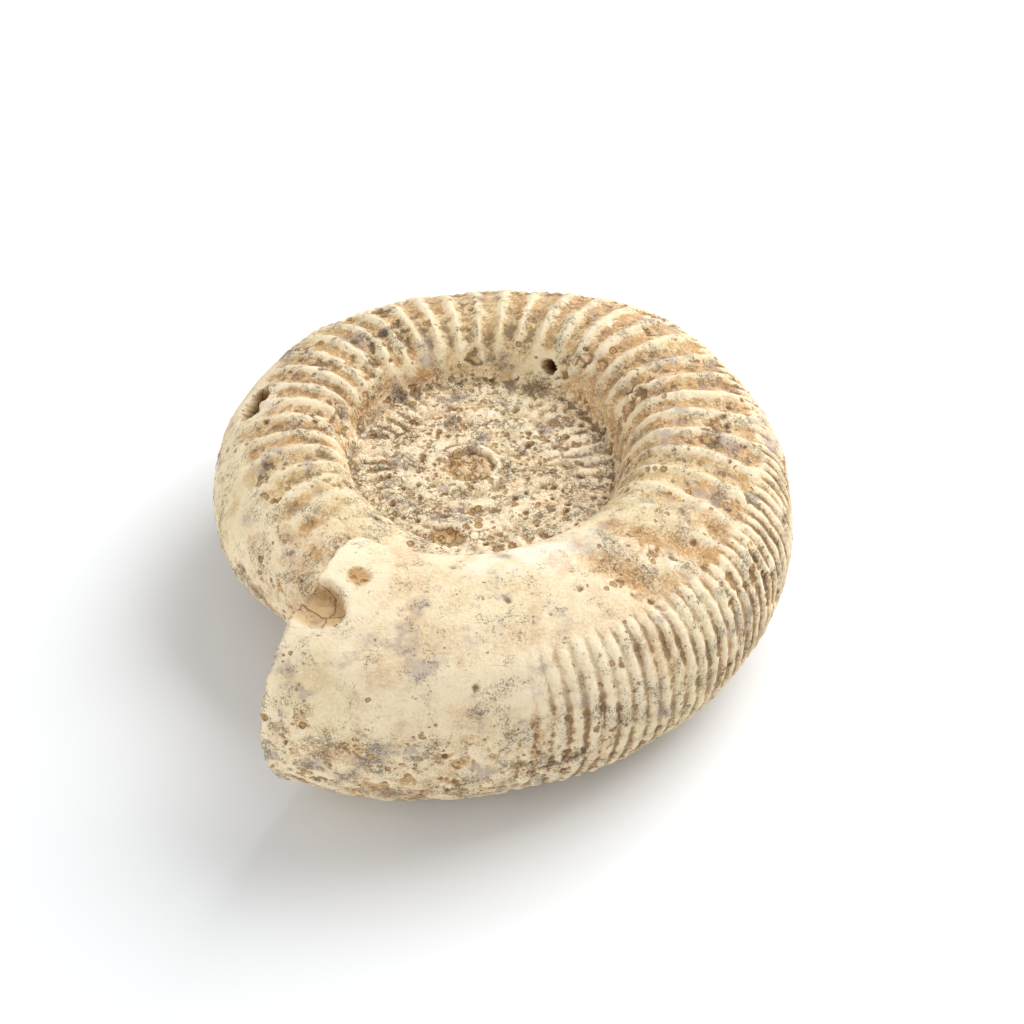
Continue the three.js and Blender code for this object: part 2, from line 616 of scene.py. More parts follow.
@dataclass
class Coil:
    """The last whorl as a closed tube, with the fill of the navel as a second closed body.

    Attributes:
        whorl: The rule of the coil.
        ribs: The ribs.
        rows: Points along the tube.
        columns: Points around it.
        fill_radius: Radius of the navel's fill.
        fill_height: Its height above and below the mid-plane.
        seed: Picks every random pattern.
    """

    whorl: Whorl = field(default_factory=Whorl)
    ribs: Ribs = field(default_factory=Ribs)
    rows: int = 1100
    columns: int = 300
    fill_radius: float = 32.0
    fill_height: float = 7.6
    seed: int = 3

    def rib_relief(self, angle: Field, around: Field, base: Field) -> Field:
        """How far the ribs stand out, from 0 in a groove to 1 on a crest.

        Args:
            angle: The growth angle.
            around: The turn around the section, 0 at the venter.
            base: The position on the smooth tube.

        Returns:
            The relief.
        """
        ribs, outward = self.ribs, around.cos()
        wander = (noise(base, 16.0, self.seed, 2.0) - 0.5) * (2 * ribs.warp)
        phase = (angle + wander + outward * ribs.lean) * (ribs.per_turn / 2)
        height, groove = (size / self.whorl.half_height for size in (ribs.height, ribs.branch))

        strong = 1.0 - (phase.sin() ** 2 + 0.012) ** 0.42  # broad furrows, narrow rounded crests
        flank = strong * height
        flank = flank * angle.sweep(*ribs.flank_low[:2], 1.0, ribs.flank_low[2])
        flank = flank * angle.sweep(*ribs.flank_fade, 1.0, 0.0) * angle.sweep(*ribs.old_fade)
        flank = flank * outward.ramp(*ribs.rise)

        branch = 1.0 - ((phase * ribs.branches).cos() ** 2) ** 2.2
        uneven = noise(base, 6.0, self.seed + 1, 2.0).ramp(0.3, 0.65, 0.55, 1.2)
        sound = height - (1.0 - branch) * groove * uneven
        kept = angle.sweep(*ribs.venter_fade, 1.0, 0.0)
        kept = kept * angle.sweep(*ribs.left_worn[:2], ribs.left_worn[2], 1.0)
        venter = blended(kept, height * 0.45, sound, angle.tree)
        return blended(outward.ramp(*ribs.split), flank, venter, angle.tree)

    def tree(self) -> Tree:
        """Builds the tree for the tube and the fill.

        Returns:
            The tree.
        """
        whorl = self.whorl
        made = Tree("ammonite_coil")
        first = made.given("First Angle", "Float", math.radians(whorl.first))
        last = made.given("Last Angle", "Float", math.radians(whorl.last))
        rows = made.given("Rows", "Int", self.rows)
        columns = made.given("Columns", "Int", self.columns)

        sheet = made.node("GeometryNodeMeshGrid")
        for name, value in (("Size X", 1.0), ("Size Y", 1.0), ("Vertices X", rows), ("Vertices Y", columns)):
            feed(made.group, sheet.inputs[name], value)
        x, y, _ = parts(made.place())
        row = (x + 0.5) * (rows - 1.0)
        angle = first + row.line(1.0, rows - 2.0) * (last - first)
        around = (y + 0.5) * -TURN
        radius = whorl.radius(angle)
        outward = around.cos().signed_power(whorl.power)
        upward = around.sin().signed_power(whorl.power)
        half_width = angle.sweep(*whorl.wear_slope, whorl.worn_half_width, whorl.half_width)

        def laid(swell: Number) -> Field:
            """The place on the tube, swollen by a factor about the middle of its section."""
            reach = radius * (outward * swell * whorl.half_height + (1.0 - whorl.half_height))
            height = radius * half_width * upward * (1.0 - outward * whorl.shoulder) * swell
            return vector(made.group, -(angle.sin() * reach), -(angle.cos() * reach), height)

        base = laid(1.0)
        ribbed = laid(self.rib_relief(angle, around, base) + 1.0)
        open_row = row.above(0.5) * (1.0 - row.above(rows - 1.5))
        middle = radius * (1.0 - whorl.half_height)
        cap = vector(made.group, -(angle.sin() * middle), -(angle.cos() * middle), 0.0)
        reach = vector_maths("SCALE", vector_maths("SUBTRACT", ribbed, cap), factor=open_row)
        tube = vector_maths("ADD", cap, reach)
        grown = made.moved(sheet.outputs["Mesh"], place=tube)
        merged = made.node("GeometryNodeMergeByDistance")
        feed(made.group, merged.inputs["Geometry"], grown)
        merged.inputs["Distance"].default_value = MERGE_WITHIN

        joined = made.node("GeometryNodeJoinGeometry")
        for body in (merged.outputs[0], self.fill(made)):
            made.group.links.new(body, joined.inputs[0])
        made.close(joined.outputs[0])
        return made

    def fill(self, made: Tree) -> Socket:
        """Adds the lens of stone in the navel: a ball, squared and flattened.

        Args:
            made: The tree.

        Returns:
            Its geometry.
        """
        ball = made.node("GeometryNodeMeshUVSphere")
        for name, value in (("Segments", 160), ("Rings", 80), ("Radius", 1.0)):
            ball.inputs[name].default_value = value
        x, y, z = parts(made.place())
        out = ((x * x + y * y) ** 0.5).most(TINY)
        wide = out ** 0.35 * self.fill_radius / out
        tall = z.signed_power(0.3) * self.fill_height
        return made.moved(ball.outputs["Mesh"], place=vector(made.group, x * wide, y * wide, tall))


@dataclass(frozen=True)
class Hollow:
    """A scoop or a hole in the stone.

    Attributes:
        at: The middle of its rim, in the coil's frame.
        reach: Half its width, half its length and its depth.
        into: The way it goes in.
        turn: How far its length is turned from the Y axis, in degrees.
        reign: How far from its rim it acts.
        porous: Whether it is a patch of open vesicles.
    """

    at: tuple[float, float, float]
    reach: tuple[float, float, float]
    into: tuple[float, float, float] = (0.0, 0.0, -1.0)
    turn: float = 0.0
    reign: float = 8.0
    porous: bool = False

    def axes(self) -> tuple[Vector, Vector, Vector]:
        """Its width, its length and the way out of it, as unit vectors."""
        outward = -Vector(self.into).normalized()
        level = Vector((0.0, 1.0, 0.0))
        length = (level - outward * level.dot(outward)).normalized()
        length = Matrix.Rotation(math.radians(self.turn), 3, outward) @ length
        return length.cross(outward), length, outward


@dataclass(frozen=True)
class Spot:
    """Where the points of the coil are.

    Attributes:
        place: Their position.
        normal: Their normal.
        bearing: Their angle round the coiling axis, 0 at the front.
        angle: Their growth angle on the last whorl.
        out: Their distance from the coiling axis.
        ragged_out: The same with a wander, for ragged rings.
        share: The distance as a share of the last whorl's outer radius.
    """

    place: Field
    normal: Field
    bearing: Field
    angle: Field
    out: Field
    ragged_out: Field
    share: Field


@dataclass
class Weathering:
    """Everything that time did to the coil: wear, flaking, pits, chips and a rough broken face.

    Attributes:
        whorl: The rule of the coil.
        hollows: The scoops and holes in the upper side.
        seed: Picks every random pattern.
        navel_depth: Height above the mid-plane where the navel's wall ends and its floor starts.
        navel_edge: Share of the outer radius where they do.
        face_start: Bearings, in degrees, between which the broken face starts.
        face_end: Bearings between which it ends.
        front_worn: Growth angles, in degrees, between which the front turns smooth.
        left_worn: Growth angles between which the smooth stretch on the left ends.
        left_start: Growth angles between which it starts.
        bands: Growth angles, below 0, of the two concave bands where the ribs start.
        band_width: Their half width, in degrees.
        rim_start: Growth angles between which the white stretch of the navel's rim starts.
        rim_end: Growth angles between which it ends.
        core: Radii between which the innermost coil stands, in millimetres.
        older_ribs: How many ribs the older whorls have to a radian.
    """

    whorl: Whorl = field(default_factory=Whorl)
    hollows: tuple[Hollow, ...] = (
        Hollow(at=(-24.5, -54.0, 20.6), reach=(5.4, 6.2, 1.6), turn=12.0),
        Hollow(at=(-42.0, 9.6, 13.4), reach=(2.3, 4.6, 7.5), into=(0.5, 0.4, -0.75), turn=-24.0),
        Hollow(at=(14.4, 23.6, 12.4), reach=(1.4, 1.55, 5.0), into=(0.45, 0.73, -0.5)),
        Hollow(at=(-17.2, -47.6, 22.9), reach=(2.6, 3.0, 0.8), porous=True),
        Hollow(at=(-3.6, -20.6, 7.6), reach=(4.0, 3.2, 1.0)),
        Hollow(at=(-37.6, -29.8, -2.5), reach=(2.6, 8.5, 1.3), into=(0.76, 0.60, -0.12)),
    )
    seed: int = 11
    navel_depth: tuple[float, float] = (10.8, 8.3)
    navel_edge: tuple[float, float] = (0.6, 0.55)
    face_start: tuple[float, float] = (20.0, 25.0)
    face_end: tuple[float, float] = (36.0, 42.0)
    front_worn: tuple[float, float] = (-52.0, -22.0)
    left_worn: tuple[float, float] = (-246.0, -222.0)
    left_start: tuple[float, float] = (-330.0, -318.0)
    bands: tuple[float, float] = (28.5, 41.0)
    band_width: float = 3.6
    rim_start: tuple[float, float] = (-42.0, -28.0)
    rim_end: tuple[float, float] = (14.0, -12.0)
    core: tuple[float, float] = (5.2, 4.2)
    older_ribs: float = 46.0

    def tree(self) -> Tree:
        """Builds the tree that weathers the coil and stores where each kind of wear is, and where shade is
        painted in the holes.

        Returns:
            The tree.
        """
        made = Tree("weathering")
        geometry, kept = made.given("Geometry", "Geometry"), {}
        at = self.spot(made)
        marks = self.regions(at)
        marks.update(self.scars(at, marks))
        raised = vector_maths("SCALE", at.normal, factor=self.lift(made, at, marks))
        for name, value in marks.items():
            geometry, kept[name] = made.captured(geometry, value)
        geometry = made.moved(geometry, place=vector_maths("ADD", at.place, raised))

        furthest = kept["core"] * 0.0
        for hollow in self.hollows:
            geometry, pushed = self.scooped(made, geometry, hollow)
            if hollow.porous:
                kept["core"] = kept["core"].most(pushed.line(0.05, 0.4))
            else:
                furthest = furthest.most(pushed)
        # how far each point was pushed into a hole: a little marks fresh stone, far in marks where shade is
        # painted
        kept["hollow"], kept["hole_shade"] = furthest.line(0.05, 0.6), furthest.line(2.5, 3.3)

        now = made.place()
        for name, passes, span in (("relief", 60, 0.6), ("edge", 6, 0.12)):
            off = vector_maths("SUBTRACT", now, made.softened(now, passes))
            kept[name] = vector_maths("DOT_PRODUCT", off, made.normal()).line(-span, span)
        for name, value in kept.items():
            geometry = made.stored(geometry, name, value)
        made.close(geometry)
        return made

    def spot(self, made: Tree) -> Spot:
        """Works out where the points of the coil are.

        Args:
            made: The tree.

        Returns:
            Where they are.
        """
        place = made.place()
        x, y, _ = parts(place)
        out = ((x * x + y * y) ** 0.5).most(0.5)
        bearing = maths(made.group, "ARCTAN2", -x, -y)
        angle = bearing - bearing.above(math.radians(self.whorl.last + 1.5)) * TURN
        ragged_out = out + (noise(place, 2.8, self.seed + 14, 3.0) - 0.5) * 3.4
        return Spot(place, made.normal(), bearing, angle, out, ragged_out, out / self.whorl.radius(angle))

    def regions(self, at: Spot) -> dict[str, Field]:
        """Finds each region of the stone.

        Args:
            at: Where the points are.

        Returns:
            A mask for each region by name, from 0 outside to 1 inside.
        """
        angle, share, mouth = at.angle, at.share, math.radians(self.whorl.last)
        _, _, z = parts(at.place)
        nx, ny, _ = parts(at.normal)
        wander = (noise(at.place, 14.0, self.seed, 2.0) - 0.5) * 0.9

        navel = abs(z).ramp(*self.navel_depth) * share.ramp(*self.navel_edge)
        face = (ny * math.sin(mouth) - nx * math.cos(mouth)).ramp(0.55, 0.85)
        face = face * at.bearing.sweep(*self.face_start) * (1.0 - at.bearing.sweep(*self.face_end))
        face = face * (1.0 - navel)

        front = (angle + wander).sweep(*self.front_worn)
        left = (angle + wander).sweep(*self.left_worn, 1.0, 0.0) * angle.sweep(*self.left_start)
        left = left * (share + wander * 0.2).ramp(0.86, 0.93)
        worn = front.most(left) * (1.0 - navel) * (1.0 - face)
        slant = angle + wander * 0.08 + (share - 0.6) * 0.7
        offs = [(slant + math.radians(band)) / math.radians(self.band_width) for band in self.bands]
        first, second = (math.e ** -(off * off) for off in offs)
        furrow = first.most(second * 0.8) * share.ramp(0.55, 0.62) * share.ramp(0.92, 0.82)
        crust = (z + wander * 18.0).ramp(10.0, 3.0) * worn
        worn = worn * (1.0 - crust * 0.88) * (1.0 - furrow * 0.85)

        rim = share.ramp(0.5, 0.55) * share.ramp(0.72, 0.6)
        rim = rim * angle.sweep(*self.rim_start) * angle.sweep(*self.rim_end)
        rim = rim * noise(at.place, 5.0, self.seed + 13, 4.0).ramp(0.45, 0.55)
        core = at.ragged_out.ramp(*self.core) * 0.55
        regions = {"navel": navel, "worn": worn, "face": face, "core": core}
        return {**regions, "furrow": furrow, "crust": crust, "rim": rim}

    def scars(self, at: Spot, regions: dict[str, Field]) -> dict[str, Field]:
        """Scatters flakes and pits over the stone.

        Args:
            at: Where the points are.
            regions: The masks of the regions.

        Returns:
            The masks of the flakes and of the pits.
        """
        place, tree, seed, navel = at.place, at.place.tree, self.seed, regions["navel"]
        flake = noise(place, 8.5, seed + 7, 4.0, 0.6).ramp(0.60, 0.635)
        flake = flake * (1.0 - regions["worn"]) * (1.0 - navel) * (1.0 - regions["face"])
        dense = noise(place, 11.0, seed + 8, 2.0).ramp(0.42, 0.62)
        near, pick = cells(place, 2.5, seed + 9)
        outside, inside = blended(dense, 1.0, 0.86, tree), blended(dense, 0.72, 0.3, tree)
        bore = 0.35 + pick * 0.55
        pit = near.ramp(bore, bore * 0.45) * pick.above(blended(navel, outside, inside, tree))
        return {"flake": flake, "pit": pit}

    def floor(self, at: Spot, core: Field) -> Field:
        """The relief of the navel's floor: a bowl with traces of the older whorls.

        Args:
            at: Where the points are.
            core: The mask of the innermost coil.

        Returns:
            The relief, in millimetres.
        """
        whorl, seed = self.whorl, self.seed
        turns = (at.out / whorl.front_radius).log(whorl.expansion)
        inner = (turns - at.bearing / TURN - math.log(whorl.seam) / math.log(whorl.expansion)).fract()
        older = inner * (1.0 - inner) * 4.0
        rib = (at.bearing * self.older_ribs + inner * 2.5).cos() * older * at.out.ramp(13.0, 18.0)
        rib = rib * noise(at.place, 13.0, seed + 1, 1.0).ramp(0.45, 0.6)
        floor = (older - 0.45) * 0.5 * noise(at.place, 9.0, seed + 12, 1.0).ramp(0.3, 0.6)
        floor = floor + rib * 0.3 + (at.out / 26.0).line(0.0, 1.0, -1.2, 0.3)
        ring = at.ragged_out.ramp(4.0, 5.2) * at.out.ramp(6.8, 5.2)
        return floor + ring * 0.6 - core * 0.35

    def lift(self, made: Tree, at: Spot, marks: dict[str, Field]) -> Field:
        """How far the weathered points stand above the sound shell.

        Args:
            made: The tree.
            at: Where the points are.
            marks: The masks of the regions, the flakes and the pits.

        Returns:
            The height, in millimetres.
        """
        group, place, seed = made.group, at.place, self.seed
        swell = made.given("Undulation", "Float", 1.5)
        rough = made.given("Navel Roughness", "Float", 1.7)
        pit_depth = made.given("Pit Depth", "Float", 0.55)
        flake_depth = made.given("Flake Depth", "Float", 0.4)
        face_rough = made.given("Face Roughness", "Float", 2.2)
        worn, navel = marks["worn"], marks["navel"]

        big = (noise(place, 21.0, seed + 2, 2.0) - 0.5) * swell
        middling = (noise(place, 6.5, seed + 3, 3.0) - 0.5) * blended(worn, 0.85, 0.6, group)
        fine = (noise(place, 1.9, seed + 4, 2.0, 0.6) - 0.5) * blended(worn, 0.4, 0.14, group)
        ragged = (noise(place, 3.6, seed + 5, 4.0, 0.68) - 0.5) * rough
        broken = (noise(place, 7.0, seed + 6, 5.0, 0.62) - 0.5) * face_rough + 0.4
        flaky = (noise(place, 4.2, seed + 15, 4.0, 0.62) - 0.5) * 1.5
        lift = big + middling + fine - 0.15 + (ragged + self.floor(at, marks["core"])) * navel
        lift = lift + broken * marks["face"] + flaky * marks["crust"]
        lift = lift - marks["furrow"] * 0.9 - marks["flake"] * flake_depth
        return lift - marks["pit"] * pit_depth * blended(navel, 0.7, 1.0, group)

    def scooped(self, made: Tree, geometry: Socket, hollow: Hollow) -> tuple[Socket, Field]:
        """Pushes the points of the stone into a scoop.

        Args:
            made: The tree.
            geometry: The geometry so far.
            hollow: The scoop.

        Returns:
            The geometry, and how far each point was pushed.
        """
        place = made.place()
        away = vector_maths("SUBTRACT", place, hollow.at)
        across, along, above = (vector_maths("DOT_PRODUCT", away, tuple(axis)) for axis in hollow.axes())
        across, along = across / hollow.reach[0], along / hollow.reach[1]
        ragged = (noise(place, 3.0, self.seed + 20, 3.0) - 0.5) * 0.8
        left = (1.0 - across * across - along * along - ragged).most(0.0)
        push = (above + left ** 0.5 * hollow.reach[2]).most(0.0)
        push = push * left.above(0.0) * (hollow.reign - abs(above)).above(0.0)
        geometry, held = made.captured(geometry, push)
        inward = vector(made.group, *(push * -step for step in hollow.axes()[2]))
        return made.moved(geometry, offset=inward), held


@dataclass
class Fossil:
    """The ammonite: one stone, coiled, weathered and laid on its flank.

    Attributes:
        coil: Its coil.
        weathering: What time did to it.
        tilt: How the coil's mid-plane leans once it lies down, about X and then Y, in degrees.
        axis_at: The coil's middle above the base, in millimetres.
        voxel: Grain at which its bodies are fused, in millimetres.
        triangles: The most triangles that it may have.
    """

    coil: Coil = field(default_factory=Coil)
    weathering: Weathering = field(default_factory=Weathering)
    tilt: tuple[float, float] = (-2.2, 0.8)
    axis_at: tuple[float, float, float] = (-6.06, 8.28, 20.2)
    voxel: float = 0.42
    triangles: int = 196000

    def build(self, finish: bpy.types.Material) -> bpy.types.Object:
        """Makes the stone.

        Args:
            finish: Its material.

        Returns:
            The stone's object, in the row's frame.
        """
        start = bpy.data.meshes.new("start")
        mesh = run_tree(self.coil.tree(), start, finish, "coil")
        mesh = run_modifier(mesh, "REMESH", "fused", mode="VOXEL", voxel_size=self.voxel)
        mesh = run_tree(self.weathering.tree(), mesh, finish, "weathered")
        mesh.transform(self.lie())
        self.press_flat(mesh)
        count = sum(len(face.vertices) - 2 for face in mesh.polygons)
        ratio = min(1.0, self.triangles / count)
        mesh = run_modifier(mesh, "DECIMATE", "fossil", decimate_type="COLLAPSE", ratio=ratio)
        mesh.transform(Matrix.Scale(MM, 4))
        mesh.polygons.foreach_set("use_smooth", [True] * len(mesh.polygons))
        stone = bpy.data.objects.new("fossil_stone", mesh)
        bpy.context.scene.collection.objects.link(stone)
        return stone

    def lie(self) -> Matrix:
        """The matrix from the coil's frame to the row's, both in millimetres."""
        about_x = Matrix.Rotation(math.radians(self.tilt[0]), 4, "X")
        about_y = Matrix.Rotation(math.radians(self.tilt[1]), 4, "Y")
        return Matrix.Translation(self.axis_at) @ about_y @ about_x

    def press_flat(self, mesh: bpy.types.Mesh) -> None:
        """Wears the underside flat where the stone rests."""
        places = np.empty(len(mesh.vertices) * 3, dtype=np.float32)
        mesh.vertices.foreach_get("co", places)
        places[2::3] = np.maximum(places[2::3], 0.0)
        mesh.vertices.foreach_set("co", places)
        mesh.update()


# ---------------------------------------------------------------- the stone's finish


def linear(code: str) -> tuple[float, float, float, float]:
    """Turns a screen colour such as "#ecd9b9" into scene colour."""
    shares = [int(code[i : i + 2], 16) / 255 for i in (1, 3, 5)]
    return (*(v / 12.92 if v <= 0.04045 else ((v + 0.055) / 1.055) ** 2.4 for v in shares), 1.0)


class EffectGroup(Group):
    """A shader node group: an effect, built once."""

    def __init__(self, name: str) -> None:
        """Starts an empty group."""
        super().__init__(name, Domain.SHADER)

    def placed(self, tree: bpy.types.NodeTree, **values: object) -> bpy.types.Node:
        """Places the group in a material.

        Args:
            tree: The material's node tree.
            **values: Its inputs, with _ for each space in a name.

        Returns:
            The node.
        """
        node = tree.nodes.new("ShaderNodeGroup")
        node.node_tree = self.group
        for name, value in values.items():
            feed(tree, node.inputs[name.replace("_", " ")], value)
        return node


def grit_group() -> EffectGroup:
    """Fine dark grit that gathers in drifts.

    Returns:
        The group, with a mask "Grit" that is 1 on a grain.
    """
    made = EffectGroup("grit")
    place = made.given("Place", "Vector")
    amount = made.given("Amount", "Float", 0.5)
    drift = noise(place, 4.2, 31, 4.0, 0.62).ramp(0.40, 0.64)
    grain = noise(place, 0.3, 32, 4.0, 0.8)
    coarse = noise(place, 0.7, 33, 4.0, 0.75)
    level = 0.70 - drift * 0.13 - amount * 0.07
    fine_grit = grain.ramp(level - 0.02, level + 0.05)
    clots = coarse.ramp(level - 0.005, level + 0.05)
    made.result("Grit", "Float", fine_grit.most(clots * 0.85))
    return made


def vesicle_group() -> EffectGroup:
    """Small round vesicles, each a dark ring round a rusty or brown filling.

    Returns:
        The group, with masks "Ring", "Fill" and "Heart".
    """
    made = EffectGroup("vesicles")
    place = made.given("Place", "Vector")
    share = made.given("Share", "Float", 0.5)
    loose = warped(place, 1.1, 41, 0.7)
    masks = {"Ring": [], "Fill": [], "Heart": []}
    for size, seed in ((2.3, 42), (1.25, 43)):
        near, pick = cells(loose, size, seed)
        chosen = share.above(pick)
        radius = size * (0.17 + 0.22 * (pick * 7.31).fract())
        ring = near.ramp(radius * 1.22, radius * 0.98) * near.ramp(radius * 0.62, radius * 0.92)
        masks["Ring"].append(ring * chosen)
        masks["Fill"].append(near.ramp(radius, radius * 0.72) * chosen)
        masks["Heart"].append(near.ramp(radius * 0.62, radius * 0.2) * chosen)
    for name, (large, small) in masks.items():
        made.result(name, "Float", large.most(small))
    return made


def mixed(tree: bpy.types.NodeTree, share: Number, first: object, second: object) -> Field:
    """Mixes two colours, each a field or a screen colour.

    Args:
        tree: The material's node tree.
        share: How much of the second.
        first: The first colour.
        second: The second colour.

    Returns:
        The mixed colour.
    """
    node = tree.nodes.new("ShaderNodeMix")
    node.data_type = "RGBA"
    feed(tree, node.inputs[0], share)
    for socket, given in ((node.inputs[6], first), (node.inputs[7], second)):
        feed(tree, socket, linear(given) if isinstance(given, str) else given)
    return Field(tree, node.outputs[2])


class Coat:
    """The stone's finish while it is worked out, layer on layer.

    Attributes:
        tree: The material's node tree.
        place: The position on the stone, in millimetres.
        masks: The masks stored on the stone, by name.
        mid: Noise of a middling grain.
        wide: Noise of a wide grain.
        slow: Noise of a very wide grain.
        fine: Noise of a fine grain.
        loose: A position that wanders, for irregular cells.
        colour: The colour so far.
        height: The fine relief so far, in millimetres.
    """

    def __init__(self, tree: bpy.types.NodeTree, colour: str) -> None:
        """Starts the coat.

        Args:
            tree: The material's node tree.
            colour: The screen colour that it starts from.
        """
        self.tree = tree
        self.place = self.millimetres()
        self.masks = {name: self.mask(name) for name in MASKS}
        self.mid = noise(self.place, 3.4, 51, 4.0, 0.6)
        self.wide = noise(self.place, 11.0, 52, 3.0)
        self.slow = noise(self.place, 24.0, 53, 2.0)
        self.fine = noise(self.place, 0.55, 54, 3.0, 0.65)
        self.loose = warped(self.place, 2.0, 62, 1.6)
        self.colour: object = colour
        self.height = (self.fine - 0.5) * 0.2 + (self.mid - 0.5) * 0.2 * (1.0 - self.masks["worn"] * 0.6)

    def millimetres(self) -> Field:
        """The position on the stone, in millimetres."""
        source = self.tree.nodes.new("ShaderNodeTexCoord")
        mapping = self.tree.nodes.new("ShaderNodeMapping")
        mapping.inputs["Scale"].default_value = (1 / MM, 1 / MM, 1 / MM)
        self.tree.links.new(source.outputs["Object"], mapping.inputs["Vector"])
        return Field(self.tree, mapping.outputs["Vector"])

    def mask(self, name: str) -> Field:
        """A mask stored on the stone's points."""
        node = self.tree.nodes.new("ShaderNodeAttribute")
        node.attribute_name = name
        return Field(self.tree, node.outputs["Fac"])

    def lay(self, share: Number, colour: object) -> None:
        """Lays a colour over the coat, with a share of 1 where it covers."""
        self.colour = mixed(self.tree, share, self.colour, colour)

    def sink(self, depth: Field) -> None:
        """Sinks the fine relief by a depth in millimetres."""
        self.height = self.height - depth


@dataclass(frozen=True)
class FossilLimestone:
    """Weathered cream to tan fossil limestone.

    Attributes:
        cream: The worn, smooth stone.
        pale: Worn crests and edges, partly wear and partly a painted highlight.
        tan: The stone in the hollows between the ribs, partly a stain and partly painted shade.
        rust: Warm stains.
        ochre: Fresh breaks and the fillings of vesicles.
        straw: A yellow-green tinge.
        lilac: Grey-violet patches.
        chalk: Patches of white calcite.
        grit: Fine dark grit.
        umber: Hearts of vesicles, small pits, and the grooves, where it is partly dirt and partly painted
            shade.
        dark: Painted shade at the bottom of the holes, where little light reaches.
        roughness: How matt it is.
        shine: How strongly it mirrors.
    """

    cream: str = "#ecd8b3"
    pale: str = "#f8e8c9"
    tan: str = "#c69c68"
    rust: str = "#ba8a55"
    ochre: str = "#c09459"
    straw: str = "#dccb9b"
    lilac: str = "#aa9a95"
    chalk: str = "#f6efe2"
    grit: str = "#5e5045"
    umber: str = "#7b5531"
    dark: str = "#3a2213"
    roughness: float = 0.9
    shine: float = 0.25

    def material(self, grit: EffectGroup, vesicles: EffectGroup) -> bpy.types.Material:
        """Builds the material.

        Args:
            grit: The grit effect.
            vesicles: The vesicle effect.

        Returns:
            The material.
        """
        stone = bpy.data.materials.new("fossil_limestone")
        stone.use_nodes = True
        tree = stone.node_tree
        shader = tree.nodes["Principled BSDF"]
        coat = Coat(tree, self.cream)
        self.ground(coat)
        self.crests(coat)
        violet, chalky = self.patches(coat)
        self.cracks(coat)
        self.strew(coat, grit, violet, chalky)
        self.riddle(coat, vesicles)
        self.scratch(coat)
        feed(tree, shader.inputs["Base Color"], coat.colour)
        shader.inputs["Roughness"].default_value = self.roughness
        shader.inputs["Specular IOR Level"].default_value = self.shine

        bump = tree.nodes.new("ShaderNodeBump")
        bump.inputs["Strength"].default_value = 1.0
        bump.inputs["Distance"].default_value = MM
        feed(tree, bump.inputs["Height"], coat.height)
        tree.links.new(bump.outputs["Normal"], shader.inputs["Normal"])
        return stone

    def ground(self, coat: Coat) -> None:
        """Lays the stone's colours: pale where worn, tan in the hollows of the relief, partly a stain and
        partly painted shade, with warm stains.

        Args:
            coat: The coat.
        """
        worn, navel, relief = (coat.masks[name] for name in ("worn", "navel", "relief"))
        mid, fine = coat.mid, coat.fine
        coat.lay(worn * 0.45, self.pale)
        # tan where the relief is low, between the ribs: partly a stain, partly painted shade
        recess_stain_and_shade = (relief + (mid - 0.5) * 0.45 + (fine - 0.5) * 0.3).ramp(0.60, 0.42)
        coat.lay(recess_stain_and_shade * (1.0 - worn * 0.7) * (1.0 - navel * 0.45) * 0.95, self.tan)
        warm = (coat.wide + (mid - 0.5) * 0.6).ramp(0.50, 0.66) * (1.0 - worn * 0.2)
        coat.lay((warm * 0.6).most(coat.masks["furrow"] * 0.75), self.tan)
        rusty = (noise(coat.place, 7.5, 55, 4.0) + (fine - 0.5) * 0.2).ramp(0.60, 0.68)
        coat.lay(rusty * 0.5, self.rust)
        tinge = (coat.slow + (mid - 0.5) * 0.4).ramp(0.50, 0.62)
        coat.lay(tinge * 0.38, self.straw)
        mottled = (fine + (mid - 0.5) * 0.5).ramp(0.44, 0.60)
        speck = mixed(coat.tree, mottled, coat.colour, self.pale)
        coat.lay(blended(navel, 0.4, 0.9, coat.tree), speck)

    def crests(self, coat: Coat) -> None:
        """Lays pale crests and edges, partly wear and partly a painted highlight, and a darker tone in the
        grooves, partly dirt and partly painted shade.

        Args:
            coat: The coat.
        """
        edge, mid, fine = coat.masks["edge"], coat.mid, coat.fine
        # pale on convex crests and on edges: partly wear, partly a painted highlight
        crest = (coat.masks["relief"] + (fine - 0.5) * 0.5 + (mid - 0.5) * 0.3).ramp(0.62, 0.86)
        edge_wear_and_highlight = (edge + (fine - 0.5) * 0.5).ramp(0.62, 0.95)
        coat.lay((crest * 0.55).most(edge_wear_and_highlight * 0.6), self.pale)
        # umber and grit in narrow grooves: partly dirt, partly painted shade
        groove = (edge + (fine - 0.5) * 0.3).ramp(0.36, 0.10) * (1.0 - coat.masks["worn"] * 0.5)
        coat.lay(groove * 0.36, self.umber)
        coat.lay(groove * coat.wide.ramp(0.42, 0.56) * 0.5, self.grit)

    def patches(self, coat: Coat) -> tuple[Field, Field]:
        """Lays lilac and chalky patches, and ochre on fresh breaks.

        Args:
            coat: The coat.

        Returns:
            The masks of the lilac and of the chalky patches.
        """
        violet = noise(coat.place, 7.0, 56, 4.0, 0.6) + (coat.fine - 0.5) * 0.25
        violet = violet.ramp(0.56, 0.68)
        coat.lay(violet * 0.55, self.lilac)
        chalky = noise(coat.place, 9.0, 57, 5.0, 0.62) + (coat.masks["relief"] - 0.5) * 0.1
        chalky = chalky.ramp(0.66, 0.71).most(coat.masks["rim"])
        coat.lay(chalky * 0.7, self.chalk)
        fresh = coat.masks["hollow"].most(coat.masks["face"] * 0.4).most(coat.masks["core"] * 1.3)
        coat.lay(fresh * 0.6, self.ochre)
        return violet, chalky

